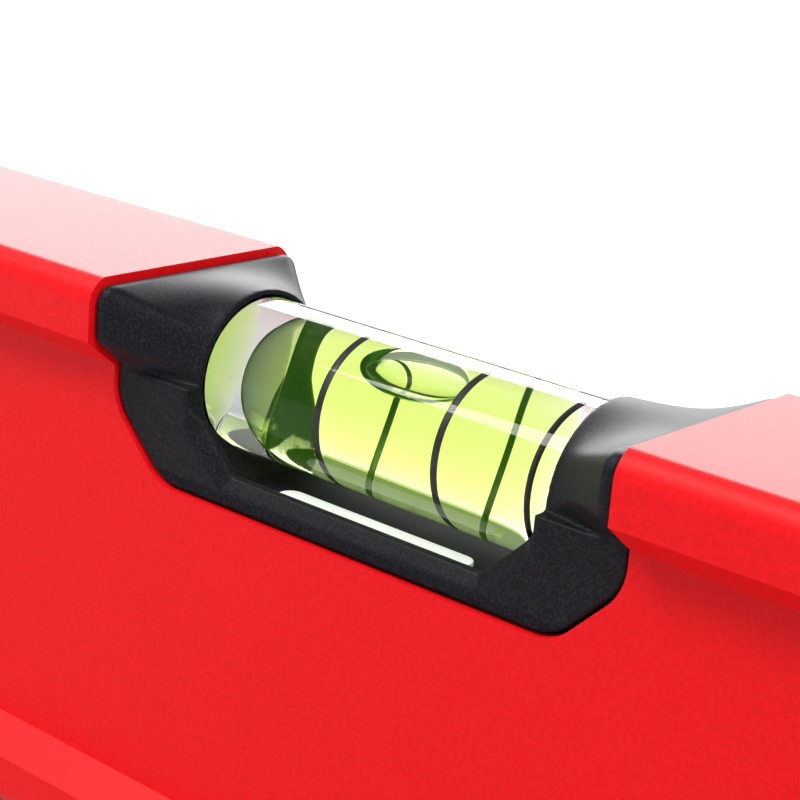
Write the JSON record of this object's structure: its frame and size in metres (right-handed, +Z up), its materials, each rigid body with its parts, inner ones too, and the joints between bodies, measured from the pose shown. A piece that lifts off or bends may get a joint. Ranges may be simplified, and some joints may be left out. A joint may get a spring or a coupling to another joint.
{
  "type": "spirit level",
  "caption": "Compact box-section spirit level with a level vial in a top cut-out, plumb vials in the web and rubber end pads.",
  "frame": {"origin": "middle of the base face, halfway along the level and halfway through its width", "axes": "+X along the level, -Y towards its front, +Z up from the base to the top face"},
  "size_m": [0.4, 0.027, 0.06],
  "materials": {
    "red_coat": "fine textured powder coat on aluminium",
    "black_plastic": "satin, finely textured",
    "clear_acrylic": "clear polished acrylic",
    "green_liquid": "clear yellow-green liquid",
    "bubble_air": "clear",
    "black_mark": "satin",
    "black_rubber": "matt",
    "white_plastic": "satin"
  },
  "bodies": {
    "level_frame": {"end_pad_left": "black_rubber", "end_pad_right": "black_rubber", "end_plug_left": "black_plastic", "end_plug_right": "black_plastic", "frame_profile": "red_coat", "level_housing": "black_plastic", "level_liquid": "green_liquid", "level_plug_seal": "black_rubber", "level_ring_far": "black_mark", "level_ring_near": "black_mark", "level_vial_body": "clear_acrylic", "level_vial_plug": "clear_acrylic", "plumb_left_housing_back": "black_plastic", "plumb_left_housing_front": "black_plastic", "plumb_left_liquid": "green_liquid", "plumb_left_plug_seal": "black_rubber", "plumb_left_ring_far": "black_mark", "plumb_left_ring_near": "black_mark", "plumb_left_vial_body": "clear_acrylic", "plumb_left_vial_plug": "clear_acrylic", "plumb_right_housing_back": "black_plastic", "plumb_right_housing_front": "black_plastic", "plumb_right_liquid": "green_liquid", "plumb_right_plug_seal": "black_rubber", "plumb_right_ring_far": "black_mark", "plumb_right_ring_near": "black_mark", "plumb_right_vial_body": "clear_acrylic", "plumb_right_vial_plug": "clear_acrylic", "sight_strip_back": "white_plastic", "sight_strip_front": "white_plastic"},
    "level_bubble_air": {"level_bubble": "bubble_air"},
    "plumb_left_bubble_air": {"plumb_left_bubble": "bubble_air"},
    "plumb_right_bubble_air": {"plumb_right_bubble": "bubble_air"}
  },
  "joints": [
    {"name": "level_bubble_slide", "type": "slide", "parent": "level_frame", "child": "level_bubble_air", "axis": [1, 0, 0], "range_m": [-0.01, 0.01], "stiffness_N_per_m": 0.5, "deforming": ["level_liquid"]},
    {"name": "plumb_left_bubble_slide", "type": "slide", "parent": "level_frame", "child": "plumb_left_bubble_air", "axis": [0, 0, 1], "range_m": [-0.016, 0], "stiffness_N_per_m": 5, "springref_m": 0.004, "deforming": ["plumb_left_liquid"]},
    {"name": "plumb_right_bubble_slide", "type": "slide", "parent": "level_frame", "child": "plumb_right_bubble_air", "axis": [0, 0, 1], "range_m": [-0.016, 0], "stiffness_N_per_m": 5, "springref_m": 0.004, "deforming": ["plumb_right_liquid"]}
  ]
}
